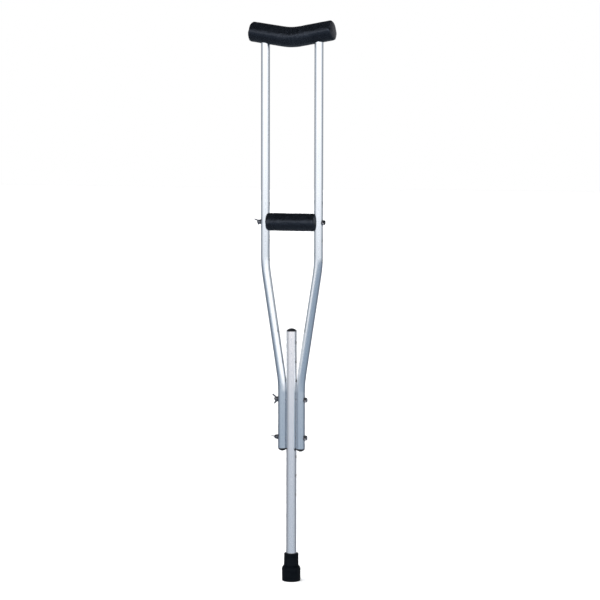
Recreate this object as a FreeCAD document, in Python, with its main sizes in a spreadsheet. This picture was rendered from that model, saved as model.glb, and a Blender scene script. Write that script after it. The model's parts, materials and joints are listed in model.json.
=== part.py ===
"""An underarm crutch: two bent side tubes under a padded saddle, a cross handgrip and a sliding leg.

Millimetres. +Z is up, X runs across the frame from tube to tube, Y runs front to back, and the
origin is the centre of the rubber tip's sole on the floor.
"""

import math
import os

import FreeCAD, Part
import Sketcher

from FreeCAD import Placement, Rotation, Vector

SIZES = {
    # saddle and underarm pad
    "overall_height": 1200.0,  # floor to the top of the pad's raised ends
    "pad_foam": 7.1,  # foam over the core
    "pad_overhang": 31.8,  # side tube's axis to the end of the pad's centre line, along X
    "pad_slope": 9.3,  # degrees that each arm rises outward
    "pad_bend_radius": 120.0,
    "pad_edge_round": 3.5,
    "foam_gap": 0.1,  # foam to whatever it is slipped over
    "core_wall": 4.5,  # core outside each tube socket
    "core_inset": 9.0,  # foam end wall beyond the core, along X
    "socket_rise": 8.0,  # tube end above the core's centre line
    "socket_gap": 0.1,
    "rivet_diameter": 4.0,
    "rivet_gap": 0.05,
    "rivet_recess": 0.6,
    # side tubes
    "tube_diameter": 19.0,
    "tube_wall": 1.3,
    "tube_spacing": 121.6,  # centre to centre above the bends
    "upper_bend_height": 681.0,
    "lower_bend_height": 430.0,
    "bend_radius": 240.0,
    "tube_foot_height": 288.0,
    # end plugs
    "plug_skirt": 12.0,
    "plug_skirt_gap": 0.05,
    "plug_rim": 1.2,
    "plug_dome": 5.3,
    # leg extension
    "leg_diameter": 22.2,
    "leg_wall": 1.3,
    "leg_gap": 0.3,  # leg to each side tube
    "leg_hole_margin": 24.0,  # top hole to the tube's top end
    "hole_pitch": 41.0,
    "bolt_pitches": 2,  # hole pitches from the lower bolt to the upper one
    "steps_each_way": 3,  # settings above and below the one shown
    "lower_bolt_height": 311.5,
    # bolts, washers and wing nuts
    "bolt_diameter": 6.0,
    "bolt_hole_gap": 0.25,
    "bolt_tail": 1.5,
    "head_border": 2.0,  # head beyond the shank, to each flat
    "head_height": 4.0,
    "washer_border": 3.0,  # washer beyond the shank
    "washer_thickness": 1.0,
    "washer_hole_gap": 0.2,
    "thread_gap": 0.05,
    "nut_wall": 2.0,
    "nut_barrel_height": 6.5,
    "wing_span": 25.0,
    "wing_height": 11.5,
    "wing_thickness": 2.4,
    "wing_ear_width": 4.4,
    "wing_root_margin": 0.65,  # wing's root to each end of the barrel
    "wing_ear_low": 2.64,  # wing's top to the ear's outer and inner corners
    "wing_ear_high": 0.88,
    "wing_ear_round": 2.46,
    "grip_nut_turn": 120.0,
    "upper_nut_turn": 155.0,
    "lower_nut_turn": 105.0,
    # handgrip
    "grip_height": 774.0,
    "grip_foam": 7.2,
    "grip_core_diameter": 24.0,
    "grip_wrap": 3.7,  # reach of the grip's ends round each tube
    "grip_saddle_gap": 0.2,
    "grip_edge_round": 2.5,
    "grip_hole_pitch": 40.0,
    "grip_holes_above": 1,
    "grip_holes_below": 2,
    # rubber tip
    "tip_height": 60.5,
    "tip_foot_wall": 8.9,  # rubber outside the leg tube: at the foot, the neck and the collar
    "tip_neck_wall": 4.7,
    "tip_collar_wall": 4.5,
    "tip_lip_round": 1.5,
    "tip_flare_low": 22.5,
    "tip_flare_high": 34.5,
    "tip_flare_round": 12.0,
    "tip_sole_round": 3.0,
    "tip_floor": 12.0,  # rubber under the steel disc
    "tip_socket_gap": 0.05,
    "sole_groove_depth": 2.0,
    "sole_groove_width": 2.0,
    "sole_inner_groove": 5.0,  # inner radius of each sole groove
    "sole_outer_groove": 10.0,
    "disc_thickness": 1.6,
}

DOC = FreeCAD.newDocument("underarm_crutch")
SHEET = DOC.addObject("Spreadsheet::Sheet", "Size")
for row, (alias, number) in enumerate(SIZES.items(), start=1):
    SHEET.set(f"A{row}", str(number))
    SHEET.setAlias(f"A{row}", alias)
DOC.recompute()

# ---------------------------------------------------------------- derived lengths, as expressions

TUBE_R = "(Size.tube_diameter / 2)"
TUBE_BORE_R = "(Size.tube_diameter / 2 - Size.tube_wall)"
LEG_R = "(Size.leg_diameter / 2)"
LEG_BORE_R = "(Size.leg_diameter / 2 - Size.leg_wall)"
HALF_TOP = "(Size.tube_spacing / 2)"
HALF_FOOT = f"({TUBE_R} + {LEG_R} + Size.leg_gap)"
UPPER_BOLT = "(Size.lower_bolt_height + Size.bolt_pitches * Size.hole_pitch)"
LEG_TOP = f"({UPPER_BOLT} + Size.steps_each_way * Size.hole_pitch + Size.leg_hole_margin)"
LEG_FOOT = "(Size.tip_floor + Size.disc_thickness)"
BOLT_HOLE = "(Size.bolt_diameter + 2 * Size.bolt_hole_gap)"
# the pad's centre line: an arc through the middle, then a straight arm rising to each end
ARC_RUN = "(Size.pad_bend_radius * sin(Size.pad_slope * 1deg))"
ARC_RISE = "(Size.pad_bend_radius * (1 - cos(Size.pad_slope * 1deg)))"
SLOPE_TAN = "tan(Size.pad_slope * 1deg)"
PAD_RUN = f"({HALF_TOP} + Size.pad_overhang)"
CORE_RUN = f"({PAD_RUN} - Size.core_inset)"
CORE_R = f"({TUBE_R} + Size.core_wall)"
PAD_R = f"({CORE_R} + Size.pad_foam)"
TUBE_RISE = f"({ARC_RISE} + ({HALF_TOP} - {ARC_RUN}) * {SLOPE_TAN})"
END_RISE = f"({ARC_RISE} + ({PAD_RUN} - {ARC_RUN}) * {SLOPE_TAN})"
CORE_RISE = f"({ARC_RISE} + ({CORE_RUN} - {ARC_RUN}) * {SLOPE_TAN})"
EDGE_LOSS = "(Size.pad_edge_round * (cos(Size.pad_slope * 1deg) + sin(Size.pad_slope * 1deg) - 1))"
PAD_MIDDLE = (
    f"(Size.overall_height + {EDGE_LOSS} - {PAD_R} * cos(Size.pad_slope * 1deg) - {END_RISE})"
)
TUBE_TOP = f"({PAD_MIDDLE} + {TUBE_RISE} + Size.socket_rise)"
GRIP_HALF = f"({HALF_TOP} - {TUBE_R} + Size.grip_wrap)"
GRIP_CORE_R = "(Size.grip_core_diameter / 2)"
BOLT_R = "(Size.bolt_diameter / 2)"
BARREL_R = f"({BOLT_R} + Size.nut_wall)"
# the slanted stretch of a side tube and the tangent length of its two equal bends
BEND_TURN = (
    f"atan(({HALF_TOP} - {HALF_FOOT}) / (Size.upper_bend_height - Size.lower_bend_height))"
)
BEND_TANGENT = f"(Size.bend_radius * tan({BEND_TURN} / 2))"

UP_TO_RIGHT = Rotation(Vector(0, 1, 0), 90)
UP_TO_LEFT = Rotation(Vector(0, 1, 0), -90)


def measure(text):
    """The number that an expression over the sheet gives."""
    found = SHEET.evalExpression(text)
    return float(getattr(found, "Value", found))


# ---------------------------------------------------------------- bodies and sketches


def new_body(label):
    """An empty body whose label names its STEP file."""
    body = DOC.addObject("PartDesign::Body", label)
    body.Label = label
    return body


def origin_plane(body, role):
    """One of the body's own origin planes or axes."""
    return next(part for part in body.Origin.OriginFeatures if part.Role == role)


def new_sketch(body, role, name, lift=None):
    """A sketch on an origin plane, or lifted off it by an expression."""
    sketch = body.newObject("Sketcher::SketchObject", name)
    sketch.AttachmentSupport = [(origin_plane(body, role), "")]
    sketch.MapMode = "FlatFace"
    if lift:
        sketch.setExpression("AttachmentOffset.Base.z", lift)
    return sketch


def constrain(sketch, kind, geometry, point, text):
    """Ties one coordinate of a sketch point to an expression, or to the axis if it is zero."""
    if text == "0":
        axis = -2 if kind == "DistanceX" else -1
        sketch.addConstraint(Sketcher.Constraint("PointOnObject", geometry, point, axis))
        return
    made = Sketcher.Constraint(kind, -1, 1, geometry, point, measure(text))
    index = sketch.addConstraint(made)
    sketch.setExpression(f"Constraints[{index}]", text)


def constrain_radius(sketch, geometry, text):
    """Ties the radius of an arc or a circle to an expression."""
    made = Sketcher.Constraint("Radius", geometry, measure(text))
    sketch.setExpression(f"Constraints[{sketch.addConstraint(made)}]", text)


def add_arc(sketch, start, end, radius, turns_left):
    """The shorter arc from start to end. Gives its index and which of its points is the start."""
    chord = end - start
    rise = math.sqrt(max(radius**2 - (chord.Length / 2) ** 2, 0.0))
    side = Vector(-chord.y, chord.x, 0).normalize() * (rise if turns_left else -rise)
    centre = start + chord * 0.5 + side
    first, last = (start, end) if turns_left else (end, start)
    angles = [math.atan2(p.y - centre.y, p.x - centre.x) for p in (first, last)]
    circle = Part.Circle(centre, Vector(0, 0, 1), radius)
    arc = Part.ArcOfCircle(circle, angles[0], angles[1] + (angles[1] < angles[0]) * math.tau)
    return sketch.addGeometry(arc), (1, 2) if turns_left else (2, 1)


def add_chain(sketch, points, arcs=None, closed=True):
    """Lines through points given as expression pairs. arcs maps the index of an edge to
    (radius expression, True if it turns left)."""
    arcs = arcs or {}
    spots = [Vector(measure(x), measure(y), 0) for x, y in points]
    edges = []
    for i in range(len(points) if closed else len(points) - 1):
        start, end = spots[i], spots[(i + 1) % len(points)]
        if i in arcs:
            text, turns_left = arcs[i]
            geometry, ends = add_arc(sketch, start, end, measure(text), turns_left)
            constrain_radius(sketch, geometry, text)
        else:
            geometry, ends = sketch.addGeometry(Part.LineSegment(start, end)), (1, 2)
        edges.append((geometry, ends))
    for i, (geometry, ends) in enumerate(edges):
        if i or closed:
            before, before_ends = edges[i - 1]
            joint = Sketcher.Constraint("Coincident", before, before_ends[1], geometry, ends[0])
            sketch.addConstraint(joint)
    for i, (x, y) in enumerate(points):
        geometry, ends = edges[min(i, len(edges) - 1)]
        point = ends[0] if i < len(edges) else ends[1]
        constrain(sketch, "DistanceX", geometry, point, x)
        constrain(sketch, "DistanceY", geometry, point, y)
    return sketch


def add_circle(sketch, radius, x="0", y="0"):
    """A circle whose centre and radius are expressions."""
    centre = Vector(measure(x), measure(y), 0)
    geometry = sketch.addGeometry(Part.Circle(centre, Vector(0, 0, 1), measure(radius)))
    constrain_radius(sketch, geometry, radius)
    constrain(sketch, "DistanceX", geometry, 3, x)
    constrain(sketch, "DistanceY", geometry, 3, y)
    return sketch


# ---------------------------------------------------------------- features


def cut_through(body, sketch, name, both_ways=True):
    """A pocket right through the body. One-sided, it runs from the sketch down its normal."""
    pocket = body.newObject("PartDesign::Pocket", name)
    pocket.Profile = sketch
    pocket.SideType = "Symmetric" if both_ways else "One side"
    pocket.Type = "ThroughAll"
    return pocket


def pad_up(body, sketch, length, name="walls", symmetric=False):
    """A pad of a sketch along its normal, or equally to both sides of it."""
    pad = body.newObject("PartDesign::Pad", name)
    pad.Profile = sketch
    pad.SideType = "Symmetric" if symmetric else "One side"
    pad.setExpression("Length", length)
    return pad


def revolve(body, sketch):
    """A full turn of an XZ sketch round its vertical axis."""
    turned = body.newObject("PartDesign::Revolution", "turned")
    turned.Profile = sketch
    turned.ReferenceAxis = (sketch, ["V_Axis"])
    turned.Angle = 360
    return turned


def sweep(body, profile, spine, kind="PartDesign::AdditivePipe", name="swept"):
    """A pipe of a profile sketch along a path sketch."""
    pipe = body.newObject(kind, name)
    pipe.Profile = profile
    pipe.Spine = (spine, [f"Edge{i + 1}" for i in range(spine.GeometryCount)])
    return pipe


def round_edges(body, base, radius, wanted):
    """Fillets the edges of a feature that a test picks."""
    DOC.recompute()
    names = [f"Edge{i + 1}" for i, edge in enumerate(base.Shape.Edges) if wanted(edge)]
    fillet = body.newObject("PartDesign::Fillet", "rounded")
    fillet.Base = (base, names)
    fillet.setExpression("Radius", radius)
    return fillet


def mirror_body(body):
    """Adds the mirror image of the whole body across its YZ plane."""
    mirrored = body.newObject("PartDesign::Mirrored", "both_halves")
    mirrored.TransformMode = "Whole shape"
    mirrored.MirrorPlane = (origin_plane(body, "YZ_Plane"), [""])
    body.Tip = mirrored
    return mirrored


def place(body, x="0", y="0", z="0", rotation=None):
    """Turns a body, then ties its place in the crutch to the sheet."""
    body.Placement = Placement(Vector(0, 0, 0), rotation or Rotation())
    for axis, text in zip("xyz", (x, y, z)):
        if text != "0":
            body.setExpression(f"Placement.Base.{axis}", text)
    return body


# ---------------------------------------------------------------- saddle


def saddle_path(body, name, run, rise):
    """The right half of the pad's centre line, from its middle out to a given end."""
    path = new_sketch(body, "XZ_Plane", name)
    points = [("0", "0"), (ARC_RUN, ARC_RISE), (run, rise)]
    return add_chain(path, points, {0: ("Size.pad_bend_radius", True)}, closed=False)


def saddle_core():
    """The moulded bar inside the pad, with a blind socket for each side tube."""
    body = new_body("saddle_core")
    section = add_circle(new_sketch(body, "YZ_Plane", "section"), CORE_R)
    sweep(body, section, saddle_path(body, "centre_line", CORE_RUN, CORE_RISE))
    socket = new_sketch(body, "XY_Plane", "socket", lift=f"{TUBE_RISE} + Size.socket_rise")
    add_circle(socket, f"{TUBE_R} + Size.socket_gap", HALF_TOP)
    cut_through(body, socket, "tube_socket", both_ways=False)
    pin_hole = new_sketch(body, "XZ_Plane", "pin_hole")
    add_circle(pin_hole, "Size.rivet_diameter / 2 + Size.rivet_gap", HALF_TOP, TUBE_RISE)
    cut_through(body, pin_hole, "rivet_hole")
    mirror_body(body)
    return place(body, z=PAD_MIDDLE)


def underarm_pad():
    """The foam cushion over the core: one closed skin, open only where the tubes enter."""
    body = new_body("underarm_pad")
    section = add_circle(new_sketch(body, "YZ_Plane", "section"), PAD_R)
    outside = sweep(body, section, saddle_path(body, "centre_line", PAD_RUN, END_RISE))
    core_end = measure(CORE_RUN)
    round_edges(
        body,
        outside,
        "Size.pad_edge_round",
        lambda edge: edge.isClosed() and edge.CenterOfMass.x > core_end,
    )
    hollow = add_circle(new_sketch(body, "YZ_Plane", "hollow"), f"{CORE_R} + Size.foam_gap")
    reach = saddle_path(body, "hollow_line", CORE_RUN, CORE_RISE)
    sweep(body, hollow, reach, "PartDesign::SubtractivePipe", "core_hollow")
    entry = add_circle(
        new_sketch(body, "XY_Plane", "entry", lift=TUBE_RISE),
        f"{TUBE_R} + Size.foam_gap",
        HALF_TOP,
    )
    cut_through(body, entry, "tube_entry", both_ways=False)
    mirror_body(body)
    return place(body, z=PAD_MIDDLE)


def saddle_rivet(side, sign):
    """A cross pin that holds one side tube in its socket."""
    body = new_body(f"saddle_rivet_{side}")
    section = add_circle(new_sketch(body, "XZ_Plane", "section"), "Size.rivet_diameter / 2")
    pad_up(body, section, f"2 * ({CORE_R} - Size.rivet_recess)", symmetric=True)
    return place(body, x=f"{sign} * {HALF_TOP}", z=f"{PAD_MIDDLE} + {TUBE_RISE}")


# ---------------------------------------------------------------- side tubes


def side_tube(side, turn):
    """A tube with two equal bends: upright at the grip, slanting in, upright beside the leg."""
    body = new_body(f"side_tube_{side}")
    section = new_sketch(body, "XY_Plane", "section")
    add_circle(section, TUBE_R, HALF_FOOT)
    add_circle(section, TUBE_BORE_R, HALF_FOOT)
    path = new_sketch(body, "XZ_Plane", "centre_line")
    low = "(Size.lower_bend_height - Size.tube_foot_height)"
    high = "(Size.upper_bend_height - Size.tube_foot_height)"
    aside, along = f"{BEND_TANGENT} * sin({BEND_TURN})", f"{BEND_TANGENT} * cos({BEND_TURN})"
    points = [
        (HALF_FOOT, "0"),
        (HALF_FOOT, f"{low} - {BEND_TANGENT}"),
        (f"{HALF_FOOT} + {aside}", f"{low} + {along}"),
        (f"{HALF_TOP} - {aside}", f"{high} - {along}"),
        (HALF_TOP, f"{high} + {BEND_TANGENT}"),
        (HALF_TOP, f"{TUBE_TOP} - Size.tube_foot_height"),
    ]
    bends = {1: ("Size.bend_radius", False), 3: ("Size.bend_radius", True)}
    sweep(body, section, add_chain(path, points, bends, closed=False))
    drilled = ["Size.lower_bolt_height", UPPER_BOLT]
    steps = range(-int(SIZES["grip_holes_below"]), int(SIZES["grip_holes_above"]) + 1)
    drilled += [f"Size.grip_height + {step} * Size.grip_hole_pitch" for step in steps]
    holes = new_sketch(body, "YZ_Plane", "holes")
    for height in drilled:
        add_circle(holes, f"{BOLT_HOLE} / 2", "0", f"{height} - Size.tube_foot_height")
    cut_through(body, holes, "bolt_holes")
    pin_hole = new_sketch(body, "XZ_Plane", "pin_hole")
    height = f"{PAD_MIDDLE} + {TUBE_RISE} - Size.tube_foot_height"
    add_circle(pin_hole, "Size.rivet_diameter / 2 + Size.rivet_gap", HALF_TOP, height)
    cut_through(body, pin_hole, "rivet_hole")
    return place(body, z="Size.tube_foot_height", rotation=Rotation(Vector(0, 0, 1), turn))


def end_plug(label, tube_radius, bore_radius, height, x="0", points_down=True):
    """A domed plug: a skirt inside the tube, a rim as wide as the tube, and a shallow dome."""
    body = new_body(label)
    outline = new_sketch(body, "XZ_Plane", "outline")
    skirt = f"{bore_radius} - Size.plug_skirt_gap"
    dome_radius = (
        f"(({tube_radius}) ^ 2 + Size.plug_dome ^ 2) / (2 * Size.plug_dome)"
    )
    points = [
        ("0", "0"),
        (skirt, "0"),
        (skirt, "Size.plug_skirt"),
        (tube_radius, "Size.plug_skirt"),
        (tube_radius, "Size.plug_skirt + Size.plug_rim"),
        ("0", "Size.plug_skirt + Size.plug_rim + Size.plug_dome"),
    ]
    revolve(body, add_chain(outline, points, {4: (dome_radius, True)}))
    turn = Rotation(Vector(1, 0, 0), 180 if points_down else 0)
    lift = "+" if points_down else "-"
    return place(body, x=x, z=f"{height} {lift} Size.plug_skirt", rotation=turn)


# ---------------------------------------------------------------- leg


def leg_extension():
    """The straight leg tube, drilled at every height setting."""
    body = new_body("extension_tube")
    section = new_sketch(body, "XY_Plane", "section")
    add_circle(section, LEG_R)
    add_circle(section, LEG_BORE_R)
    pad_up(body, section, f"{LEG_TOP} - {LEG_FOOT}")
    first = f"Size.lower_bolt_height - Size.steps_each_way * Size.hole_pitch - {LEG_FOOT}"
    hole = add_circle(new_sketch(body, "YZ_Plane", "hole"), f"{BOLT_HOLE} / 2", "0", first)
    drilled = cut_through(body, hole, "lowest_hole")
    row = body.newObject("PartDesign::LinearPattern", "setting_holes")
    row.Originals = [drilled]
    row.Direction = (hole, ["V_Axis"])
    spaces = "(2 * Size.steps_each_way + Size.bolt_pitches)"
    row.setExpression("Length", f"{spaces} * Size.hole_pitch")
    row.setExpression("Occurrences", f"{spaces} + 1")
    body.Tip = row
    return place(body, z=LEG_FOOT)


def rubber_tip():
    """The ferrule: a collar round the leg, a flare, and a sole with two ring grooves."""
    body = new_body("rubber_tip")
    outline = new_sketch(body, "XZ_Plane", "outline")
    base, neck = f"{LEG_R} + Size.tip_foot_wall", f"{LEG_R} + Size.tip_neck_wall"
    collar, bore = f"{LEG_R} + Size.tip_collar_wall", f"{LEG_R} + Size.tip_socket_gap"
    inner, outer = "Size.sole_inner_groove", "Size.sole_outer_groove"
    wide, deep = "Size.sole_groove_width", "Size.sole_groove_depth"
    points = [
        ("0", "0"),
        (inner, "0"),
        (inner, deep),
        (f"{inner} + {wide}", deep),
        (f"{inner} + {wide}", "0"),
        (outer, "0"),
        (outer, deep),
        (f"{outer} + {wide}", deep),
        (f"{outer} + {wide}", "0"),
        (f"{base} - Size.tip_sole_round", "0"),
        (base, "Size.tip_sole_round"),
        (base, "Size.tip_flare_low"),
        (neck, "Size.tip_flare_high"),
        (collar, "Size.tip_height - Size.tip_lip_round"),
        (f"{collar} - Size.tip_lip_round", "Size.tip_height"),
        (bore, "Size.tip_height"),
        (bore, "Size.tip_floor"),
        ("0", "Size.tip_floor"),
    ]
    rounds = {
        9: ("Size.tip_sole_round", True),
        11: ("Size.tip_flare_round", True),
        13: ("Size.tip_lip_round", True),
    }
    revolve(body, add_chain(outline, points, rounds))
    return body


def tip_disc():
    """The steel disc that keeps the leg's end from cutting through the rubber."""
    body = new_body("tip_disc")
    pad_up(body, add_circle(new_sketch(body, "XY_Plane", "rim"), LEG_R), "Size.disc_thickness")
    return place(body, z="Size.tip_floor")


# ---------------------------------------------------------------- handgrip


def grip_piece(label, radius, bore_radius, rounded):
    """A bored cylinder across the frame whose ends are hollowed to sit round the side tubes."""
    body = new_body(label)
    section = add_circle(new_sketch(body, "YZ_Plane", "section"), radius)
    add_circle(section, bore_radius)
    bar = pad_up(body, section, f"2 * {GRIP_HALF}", "bar", symmetric=True)
    if rounded:
        rim = measure(radius) * math.tau
        round_edges(
            body, bar, "Size.grip_edge_round", lambda edge: abs(edge.Length - rim) < rim / 1000
        )
    saddle = new_sketch(body, "XY_Plane", "tube_saddles")
    for side in ("", "-1 * "):
        add_circle(saddle, f"{TUBE_R} + Size.grip_saddle_gap", f"{side}{HALF_TOP}")
    cut_through(body, saddle, "saddles")
    return place(body, z="Size.grip_height")


# ---------------------------------------------------------------- fasteners


def bolt(label, half_spacing, height):
    """A hexagon bolt that lies along X: head on the right, thread end past the wing nut."""
    body = new_body(label)
    head = body.newObject("PartDesign::AdditivePrism", "head")
    head.Polygon = 6
    flat = f"({BOLT_R} + Size.head_border)"
    head.setExpression("Circumradius", f"{flat} / cos(30deg)")
    head.setExpression("Height", "Size.head_height")
    section = add_circle(new_sketch(body, "XY_Plane", "section"), BOLT_R)
    seat = f"({half_spacing} + {TUBE_R} + Size.washer_thickness)"
    reach = f"2 * {seat} + Size.nut_barrel_height + Size.bolt_tail"
    shank = pad_up(body, section, reach, "shank")
    shank.Reversed = True
    return place(body, x=seat, z=height, rotation=UP_TO_RIGHT)


def washer(label, x, height):
    """A flat washer on the bolt's axis, from x towards +X."""
    body = new_body(label)
    section = new_sketch(body, "YZ_Plane", "section")
    add_circle(section, f"{BOLT_R} + Size.washer_border")
    add_circle(section, f"{BOLT_R} + Size.washer_hole_gap")
    pad_up(body, section, "Size.washer_thickness")
    return place(body, x=x, z=height)


def wing_nut(label, half_spacing, height, turn):
    """A barrel with two thin wings that sweep up and out to rounded ears."""
    body = new_body(label)
    disc = add_circle(new_sketch(body, "XY_Plane", "disc"), BARREL_R)
    pad_up(body, disc, "Size.nut_barrel_height", "barrel")
    outline = new_sketch(body, "XZ_Plane", "wing_outline")
    reach, ear = "Size.wing_span / 2", "Size.wing_ear_width"
    points = [
        (BOLT_R, "Size.wing_root_margin"),
        (BARREL_R, "Size.wing_root_margin"),
        (reach, "Size.wing_height - Size.wing_ear_low"),
        (f"{reach} - {ear}", "Size.wing_height - Size.wing_ear_high"),
        (BOLT_R, "Size.nut_barrel_height - Size.wing_root_margin"),
    ]
    add_chain(outline, points, {2: ("Size.wing_ear_round", True)})
    wing = pad_up(body, outline, "Size.wing_thickness", "wing", symmetric=True)
    pair = body.newObject("PartDesign::Mirrored", "wing_pair")
    pair.Originals = [wing]
    pair.MirrorPlane = (origin_plane(body, "YZ_Plane"), [""])
    body.Tip = pair
    bore = new_sketch(body, "XY_Plane", "bore")
    add_circle(bore, f"{BOLT_R} + Size.thread_gap")
    cut_through(body, bore, "threaded_bore")
    about_bolt = Rotation(Vector(1, 0, 0), measure(turn))
    seat = f"-({half_spacing} + {TUBE_R} + Size.washer_thickness)"
    return place(body, x=seat, z=height, rotation=about_bolt * UP_TO_LEFT)


def fastening(name, half_spacing, height, turn):
    """One through bolt with a washer at each end and a wing nut."""
    right_face = f"{half_spacing} + {TUBE_R}"
    return [
        bolt(f"{name}_bolt", half_spacing, height),
        washer(f"{name}_head_washer", right_face, height),
        washer(f"{name}_nut_washer", f"-({right_face} + Size.washer_thickness)", height),
        wing_nut(f"{name}_wing_nut", half_spacing, height, turn),
    ]


# ---------------------------------------------------------------- the crutch


def crutch():
    """Every piece of the crutch, in place."""
    return [
        saddle_core(),
        underarm_pad(),
        saddle_rivet("right", 1),
        saddle_rivet("left", -1),
        side_tube("right", 0),
        side_tube("left", 180),
        end_plug("end_plug_right", TUBE_R, TUBE_BORE_R, "Size.tube_foot_height", HALF_FOOT),
        end_plug("end_plug_left", TUBE_R, TUBE_BORE_R, "Size.tube_foot_height", f"-{HALF_FOOT}"),
        leg_extension(),
        end_plug("extension_plug", LEG_R, LEG_BORE_R, LEG_TOP, points_down=False),
        rubber_tip(),
        tip_disc(),
        grip_piece("grip_core", GRIP_CORE_R, f"{BOLT_HOLE} / 2", rounded=False),
        grip_piece(
            "grip_sleeve",
            f"{GRIP_CORE_R} + Size.grip_foam",
            f"{GRIP_CORE_R} + Size.foam_gap",
            rounded=True,
        ),
        *fastening("grip", HALF_TOP, "Size.grip_height", "Size.grip_nut_turn"),
        *fastening("upper", HALF_FOOT, UPPER_BOLT, "Size.upper_nut_turn"),
        *fastening("lower", HALF_FOOT, "Size.lower_bolt_height", "Size.lower_nut_turn"),
    ]


def check(pieces):
    """Stops the build if a feature failed or a piece is not one valid solid."""
    failed = [
        thing.Name
        for thing in DOC.Objects
        if {"Invalid", "Error"} & set(thing.State)
    ]
    failed += [
        piece.Label
        for piece in pieces
        if piece.Shape.isNull() or not piece.Shape.isValid() or len(piece.Shape.Solids) != 1
    ]
    if failed:
        raise RuntimeError("not built: " + ", ".join(failed))


PIECES = crutch()
DOC.recompute()
check(PIECES)
os.makedirs("parts", exist_ok=True)
for piece in PIECES:
    piece.Shape.exportStep(os.path.join("parts", f"{piece.Label}.step"))
    print(f"{piece.Label:22s} {piece.Shape.Volume:12.1f} mm3")
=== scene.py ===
"""An underarm crutch: the foam, rubber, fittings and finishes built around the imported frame.

Metres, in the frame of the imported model: +Z is up, X runs across the crutch from side tube to side
tube, Y runs front to back, and the origin is the centre of the rubber foot's sole on the floor.
"""

from __future__ import annotations

import json
import logging
import math
from dataclasses import dataclass
from enum import Enum
from typing import Callable, Mapping, Optional, Sequence, Union

import bpy
from bpy.types import Material, MeshPolygon, Node, NodeSocket, NodeTree, Object
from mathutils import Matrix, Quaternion, Vector

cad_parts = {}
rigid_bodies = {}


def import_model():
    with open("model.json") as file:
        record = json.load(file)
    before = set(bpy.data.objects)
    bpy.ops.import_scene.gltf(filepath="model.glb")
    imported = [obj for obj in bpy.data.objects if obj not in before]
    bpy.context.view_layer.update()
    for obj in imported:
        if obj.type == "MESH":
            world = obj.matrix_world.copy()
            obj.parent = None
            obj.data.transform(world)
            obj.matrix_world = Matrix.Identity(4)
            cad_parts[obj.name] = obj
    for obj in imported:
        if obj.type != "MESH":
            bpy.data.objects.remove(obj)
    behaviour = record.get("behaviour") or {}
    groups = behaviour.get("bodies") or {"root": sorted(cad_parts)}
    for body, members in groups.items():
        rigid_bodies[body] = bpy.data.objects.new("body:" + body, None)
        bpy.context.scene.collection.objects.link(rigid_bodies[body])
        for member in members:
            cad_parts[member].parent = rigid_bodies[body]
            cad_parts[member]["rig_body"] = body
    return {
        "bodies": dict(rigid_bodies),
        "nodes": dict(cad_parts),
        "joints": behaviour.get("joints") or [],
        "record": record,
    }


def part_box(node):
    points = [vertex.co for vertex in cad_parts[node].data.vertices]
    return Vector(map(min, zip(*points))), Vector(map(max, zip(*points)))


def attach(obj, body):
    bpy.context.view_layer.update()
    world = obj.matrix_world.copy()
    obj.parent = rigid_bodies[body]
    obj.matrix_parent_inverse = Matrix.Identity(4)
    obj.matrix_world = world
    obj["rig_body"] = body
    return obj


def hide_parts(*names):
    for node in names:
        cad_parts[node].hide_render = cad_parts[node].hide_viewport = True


LOG = logging.getLogger("crutch")
MM = 0.001
FOAM_SKIN = {
    "quality": 6,
    "mass": 0.002,
    "use_pressure": True,
    "uniform_pressure_force": 5.0,
    "tension_stiffness": 2.0,
    "compression_stiffness": 2.0,
    "bending_stiffness": 0.05,
}
Station = tuple[float, float]
Band = tuple[float, float]
Colour = tuple[float, float, float, float]


# ---------------------------------------------------------------- shader sums


def _operator(operation: str, swapped: bool = False) -> Callable[["Wire", "Value"], "Wire"]:
    """A Python operator that adds one Math node, with its operands swapped where asked.

    Args:
        operation: the Math node's operation.
        swapped: whether the wire is the second operand.

    Returns:
        The operator, as a method of Wire.
    """

    def operate(self: "Wire", other: "Value") -> "Wire":
        """Adds the operator's Math node on the two values."""
        return self.graph.sum(operation, *((other, self) if swapped else (self, other)))

    return operate


class Wire:
    """One output socket of a shader node, on which Python's operators do sums."""

    def __init__(self, graph: "Graph", socket: NodeSocket) -> None:
        """Holds the socket and the graph that it belongs to."""
        self.graph = graph
        self.socket = socket

    __add__ = _operator("ADD")
    __radd__ = _operator("ADD", swapped=True)
    __sub__ = _operator("SUBTRACT")
    __rsub__ = _operator("SUBTRACT", swapped=True)
    __mul__ = _operator("MULTIPLY")
    __truediv__ = _operator("DIVIDE")


Value = Union[Wire, float, Sequence[float]]
Settings = Optional[Mapping[str, object]]
Sockets = Optional[Mapping[Union[int, str], Value]]


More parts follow.
